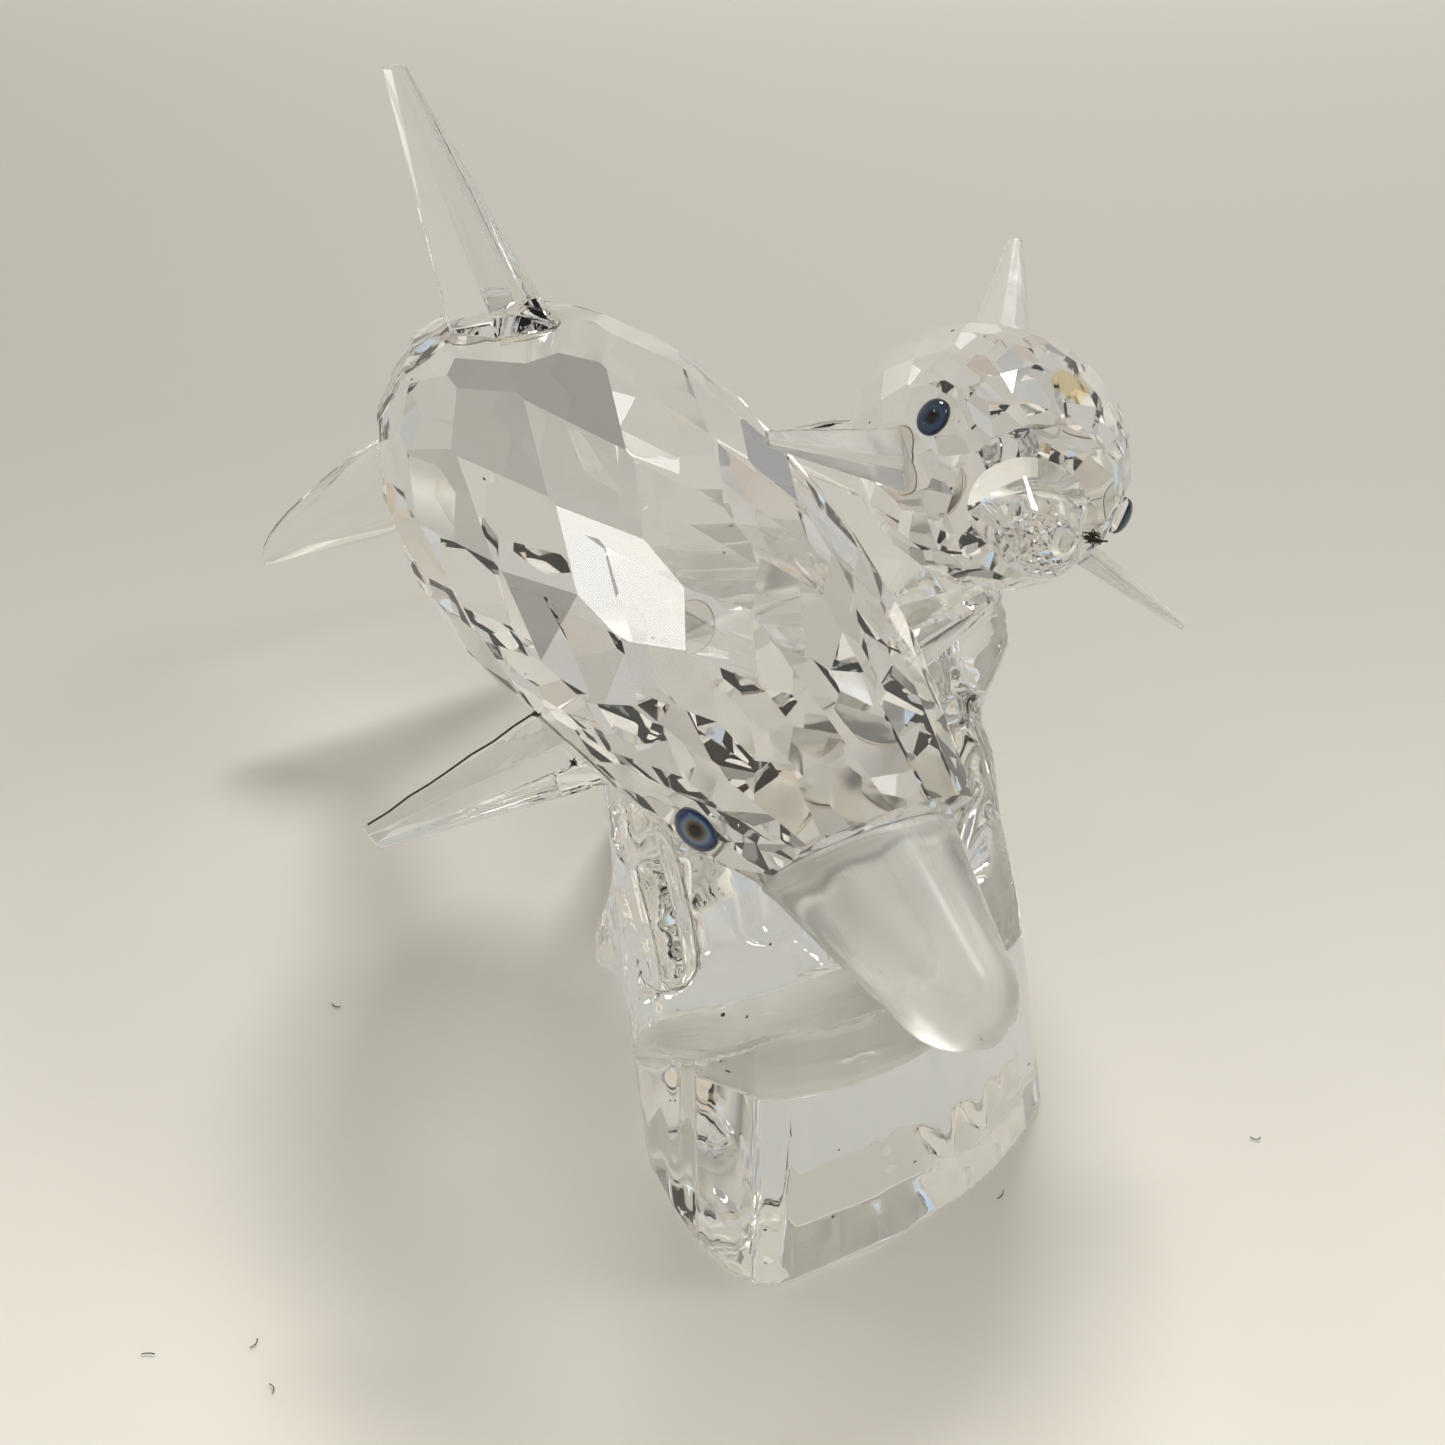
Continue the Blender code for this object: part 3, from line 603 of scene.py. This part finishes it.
def iris_material(name, warm, pale, light, dark):
    """Paint in rings from the pupil to the rim, with four tones of its own between them."""
    made, tree, links, shader = material_of(name)
    ring = tree.new("ShaderNodeAttribute")
    ring.attribute_name = "ring"
    shade = tree.new("ShaderNodeValToRGB")
    fill_ramp(shade, (
        (0.0, (0.003, 0.002, 0.002)), (0.2, (0.004, 0.003, 0.003)), (0.26, warm),
        (0.36, pale), (0.46, light), (0.62, dark), (0.78, (0.006, 0.012, 0.05)),
        (1.0, (0.01, 0.012, 0.03)),
    ))
    links.new(ring.outputs["Fac"], shade.inputs["Fac"])
    links.new(shade.outputs["Color"], shader.inputs["Base Color"])
    shader.inputs["Roughness"].default_value = 0.3
    shader.inputs["Specular IOR Level"].default_value = 0
    return made


irises = {
    "mother": iris_material(
        "mother_iris", (0.1, 0.06, 0.04), (0.2, 0.17, 0.14), (0.2, 0.32, 0.46), (0.03, 0.07, 0.24),
    ),
    "calf": iris_material(
        "calf_iris", (0.004, 0.006, 0.01), (0.015, 0.03, 0.06), (0.03, 0.065, 0.12),
        (0.02, 0.045, 0.1),
    ),
}
for name in ("mother_right_eye", "mother_left_eye", "calf_right_eye", "calf_left_eye"):
    dome = welded_copy(name, f"{name}_dome")
    points = [vertex.co.copy() for vertex in dome.data.vertices]
    flat = max(dome.data.polygons, key=lambda face: face.area)
    # the flat back's normal is the dome's axis turned round
    back = [face for face in dome.data.polygons if face.normal.dot(flat.normal) > 0.999]
    axis = -flat.normal
    back_area = sum(face.area for face in back)
    base = sum((face.center * face.area for face in back), Vector()) / back_area
    reach = max((point - base - axis * (point - base).dot(axis)).length for point in points)
    dome.data.shade_smooth()
    dome.data.set_sharp_from_angle(angle=math.radians(40))
    set_material(dome, eye_glass)
    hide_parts(name)
    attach(dome, "root")
    across = axis.orthogonal().normalized()
    along = axis.cross(across)
    bm = bmesh.new()
    rows = []
    spot = base + axis * IRIS_THICK * 2
    for number in range(IRIS_RINGS + 1):
        radius = reach * IRIS_SHARE * number / IRIS_RINGS
        turns = [2 * math.pi * k / IRIS_SIDES for k in range(IRIS_SIDES if number else 1)]
        rows.append([
            bm.verts.new(spot + (across * math.cos(turn) + along * math.sin(turn)) * radius)
            for turn in turns
        ])
    under = [bm.verts.new(vert.co - axis * IRIS_THICK) for vert in rows[-1]]
    for k in range(IRIS_SIDES):
        following = (k + 1) % IRIS_SIDES
        bm.faces.new((rows[1][k], rows[1][following], rows[0][0]))
        for inner, outer in zip(rows[1:], rows[2:]):
            bm.faces.new((outer[k], outer[following], inner[following], inner[k]))
        bm.faces.new((rows[-1][k], under[k], under[following], rows[-1][following]))
    bm.faces.new(under[::-1])
    bmesh.ops.recalc_face_normals(bm, faces=bm.faces[:])
    disc = object_from(f"{name}_iris", bm, irises[name.split("_")[0]])
    spread = disc.data.attributes.new("ring", "FLOAT", "POINT")
    for vertex in disc.data.vertices:
        out = vertex.co - base
        spread.data[vertex.index].value = (out - axis * out.dot(axis)).length / (reach * IRIS_SHARE)
    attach(disc, "root")

# Wave. One heavy piece of moulded glass, its edges rounded and its faces left slightly uneven, with
# lobes of water that hang on the front of its tall wall.
WAVE_GRAIN = 0.0005
WAVE_ROUNDING = 8
LOBES = (
    # place along Y, lowest Z, half width, in metres
    (-0.0173, 0.0165, 0.0026), (-0.0066, 0.018, 0.003), (0.0012, 0.0185, 0.0028),
    (0.009, 0.02, 0.0028),
)
LOBE_RISE = 0.0007
LOBE_EDGE = 0.0012
LOBE_TOP = 0.0315
LOBE_TOP_FADE = 0.003
WALL_FRONT = (0.016, 0.0245)
WALL_FADE = 0.002
FOOT_REACH = 0.0003
wave = welded_copy("wave_base", "wave_glass", 2e-5)
even = wave.modifiers.new("even", "REMESH")
even.mode = "VOXEL"
even.voxel_size = WAVE_GRAIN
even.use_smooth_shade = True
snap = wave.modifiers.new("snap", "SHRINKWRAP")
snap.target = nodes["wave_base"]
snap.wrap_method = "NEAREST_SURFACEPOINT"
soft = wave.modifiers.new("soft", "SMOOTH")
soft.factor = 0.5
soft.iterations = WAVE_ROUNDING
bake(wave)


def lobe_rise(point):
    """How far the wall stands out here, for its hanging lobes."""
    if not WALL_FRONT[0] < point.x < WALL_FRONT[1]:
        return 0
    most = 0
    for along, lowest, half in LOBES:
        drop = max(0, lowest + half - point.z)
        away = math.hypot(point.y - along, drop)
        share = max(0, min(1, (half - away) / LOBE_EDGE))
        most = max(most, share * share * (3 - 2 * share))
    top = max(0, min(1, (LOBE_TOP - point.z) / LOBE_TOP_FADE))
    side = min(1, (point.x - WALL_FRONT[0]) / WALL_FADE, (WALL_FRONT[1] - point.x) / WALL_FADE)
    return most * top * side


outward = [vertex.normal.copy() for vertex in wave.data.vertices]
for vertex, way in zip(wave.data.vertices, outward):
    if way.x > 0.2:
        vertex.co += way * LOBE_RISE * lobe_rise(vertex.co)
    # it stands flat on the paper
    if vertex.co.z < FOOT_REACH:
        vertex.co.z = 0
wave.data.shade_smooth()
set_material(wave, moulded_glass)
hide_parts("wave_base")
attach(wave, "root")

# Dust and dirt. Dark specks lie on the wave's lip and front, a hair is caught along the large
# right fin, and a tuft of fluff sticks beside the calf's left eye. Nothing holds them but static.
SPECKS_PER_AREA = 4500
SPECK_SIZE = 0.0002
HAIR_RADIUS = 0.0001
fluff, fluff_nodes, fluff_links, fluff_shader = material_of("brown_fluff")
fluff_shader.inputs["Roughness"].default_value = 0.9
fluff_spots = fluff_nodes.new("ShaderNodeTexNoise")
fluff_spots.inputs["Scale"].default_value = 2500
fluff_place = fluff_nodes.new("ShaderNodeTexCoord")
fluff_tones = fluff_nodes.new("ShaderNodeValToRGB")
fluff_tones.color_ramp.elements[0].color = (0.012, 0.01, 0.009, 1)
fluff_tones.color_ramp.elements[1].color = (0.1, 0.07, 0.05, 1)
fluff_links.new(fluff_place.outputs["Object"], fluff_spots.inputs["Vector"])
fluff_links.new(fluff_spots.outputs["Fac"], fluff_tones.inputs["Fac"])
fluff_links.new(fluff_tones.outputs["Color"], fluff_shader.inputs["Base Color"])


def speck_tree():
    """Scatter flat specks over all the faces of a surface."""
    tree = bpy.data.node_groups.new("dust_specks", "GeometryNodeTree")
    tree.interface.new_socket("Geometry", in_out="INPUT", socket_type="NodeSocketGeometry")
    for label, kind in (
        ("Density", "NodeSocketFloat"), ("Size", "NodeSocketFloat"), ("Seed", "NodeSocketInt"),
        ("Finish", "NodeSocketMaterial"),
    ):
        tree.interface.new_socket(label, in_out="INPUT", socket_type=kind)
    tree.interface.new_socket("Geometry", in_out="OUTPUT", socket_type="NodeSocketGeometry")
    start = tree.nodes.new("NodeGroupInput")
    end = tree.nodes.new("NodeGroupOutput")
    scatter = tree.nodes.new("GeometryNodeDistributePointsOnFaces")
    grain = tree.nodes.new("GeometryNodeMeshIcoSphere")
    grain.inputs["Subdivisions"].default_value = 1
    stretch = tree.nodes.new("FunctionNodeRandomValue")
    stretch.data_type = "FLOAT_VECTOR"
    stretch.inputs["Min"].default_value = (0.4, 0.4, 0.3)
    stretch.inputs["Max"].default_value = (1.9, 1.2, 0.6)
    place = tree.nodes.new("GeometryNodeInstanceOnPoints")
    plain = tree.nodes.new("GeometryNodeRealizeInstances")
    finish = tree.nodes.new("GeometryNodeSetMaterial")
    join = tree.links.new
    join(start.outputs["Geometry"], scatter.inputs["Mesh"])
    join(start.outputs["Density"], scatter.inputs["Density"])
    join(start.outputs["Seed"], scatter.inputs["Seed"])
    join(start.outputs["Size"], grain.inputs["Radius"])
    join(start.outputs["Seed"], stretch.inputs["Seed"])
    join(scatter.outputs["Points"], place.inputs["Points"])
    join(scatter.outputs["Rotation"], place.inputs["Rotation"])
    join(grain.outputs["Mesh"], place.inputs["Instance"])
    join(stretch.outputs["Value"], place.inputs["Scale"])
    join(place.outputs["Instances"], plain.inputs["Geometry"])
    join(plain.outputs["Geometry"], finish.inputs["Geometry"])
    join(start.outputs["Finish"], finish.inputs["Material"])
    join(finish.outputs["Geometry"], end.inputs["Geometry"])
    return tree


def dusty(name, surface, keep, density, size, seed):
    """Specks on the kept faces of a shown surface, as one plain mesh."""
    bm = bmesh.new()
    bm.from_mesh(surface)
    bm.normal_update()
    bmesh.ops.delete(bm, geom=[face for face in bm.faces if not keep(face)], context="FACES")
    specks = object_from(name, bm)
    scatter = specks.modifiers.new("specks", "NODES")
    scatter.node_group = specks_group
    wanted = {"Density": density, "Size": size, "Seed": seed, "Finish": fluff}
    for item in specks_group.interface.items_tree:
        if item.in_out == "INPUT" and item.name in wanted:
            scatter[item.identifier] = wanted[item.name]
    bake(specks)
    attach(specks, "root")


specks_group = speck_tree()
dusty(
    "wave_dust", wave.data, lambda face: face.normal.z > 0.3 or face.normal.x > 0.6,
    SPECKS_PER_AREA, SPECK_SIZE, 4,
)
dusty(
    "mother_dust", nodes["mother_body"].data, lambda face: face.normal.z > -0.2,
    SPECKS_PER_AREA * 0.35, SPECK_SIZE * 0.8, 7,
)
dusty(
    "calf_dust", nodes["calf_body"].data, lambda face: face.normal.z > -0.4,
    SPECKS_PER_AREA * 0.6, SPECK_SIZE * 0.8, 5,
)


HAIR_SIDES = 6


def hair(bm, points, radius):
    """A thin thread through a few points."""
    rows = []
    for index, point in enumerate(points):
        way = (points[min(index + 1, len(points) - 1)] - points[max(index - 1, 0)]).normalized()
        side = way.orthogonal().normalized()
        up = way.cross(side)
        turns = [2 * math.pi * k / HAIR_SIDES for k in range(HAIR_SIDES)]
        rows.append([
            bm.verts.new(point + (side * math.cos(turn) + up * math.sin(turn)) * radius)
            for turn in turns
        ])
    for first, second in zip(rows, rows[1:]):
        for k in range(HAIR_SIDES):
            following = (k + 1) % HAIR_SIDES
            bm.faces.new((first[k], first[following], second[following], second[k]))
    bm.faces.new(rows[0][::-1])
    bm.faces.new(rows[-1])


def tuft(bm, place, spread, count, seed):
    """Short bent hairs tangled round one place."""
    rng = random.Random(seed)
    for number in range(count):
        ends = [
            Vector((rng.gauss(0, spread), rng.gauss(0, spread), rng.gauss(0, spread * 0.6)))
            for k in range(3)
        ]
        hair(bm, [place + end for end in ends], HAIR_RADIUS * rng.uniform(0.5, 1))


def finish_hairs(name, bm):
    """Turn a bmesh of hairs into one object."""
    bmesh.ops.recalc_face_normals(bm, faces=bm.faces[:])
    return object_from(name, bm, fluff)


HAIR_FROM = Vector((0.0164, -0.0262, 0.0474))
HAIR_TO = Vector((0.0118, -0.0405, 0.037))
FLUFF_PLACES = (
    # place, spread in metres, hairs
    ((0.0237, 0.0243, 0.0541), 0.00045, 22),
    ((0.0166, -0.0262, 0.0473), 0.0002, 7),
    ((0.0196, -0.0243, 0.0436), 0.00018, 7),
)
caught = bmesh.new()
strand = [
    HAIR_FROM.lerp(HAIR_TO, k / 8) + Vector((0, 0, 0.0001 * math.sin(2.4 * k))) for k in range(9)
]
hair(caught, strand, HAIR_RADIUS)
for seed, (place, spread, count) in enumerate(FLUFF_PLACES):
    tuft(caught, Vector(place), spread, count, seed)
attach(finish_hairs("caught_hairs", caught), "root")

# Loose fibres on the paper round the group, each about a millimetre long.
FLOOR_FIBRES = (
    (0.0307, -0.062), (0.036, -0.0616), (0.0276, -0.0695), (0.0514, 0.0304), (0.0466, 0.0047),
    (-0.0056, -0.0426),
)
FIBRE_STEP = 0.0002
fallen = bmesh.new()
rng = random.Random(3)
for x, y in FLOOR_FIBRES:
    turn = rng.uniform(0, 6.3)
    bend = rng.uniform(0.5, 2.2)
    points = [Vector((x, y, 0.0001))]
    for k in range(6):
        heading = turn + bend * k / 5
        points.append(points[-1] + Vector((math.cos(heading), math.sin(heading), 0)) * FIBRE_STEP)
    hair(fallen, points, HAIR_RADIUS * 0.5)
fibres = finish_hairs("floor_fibres", fallen)
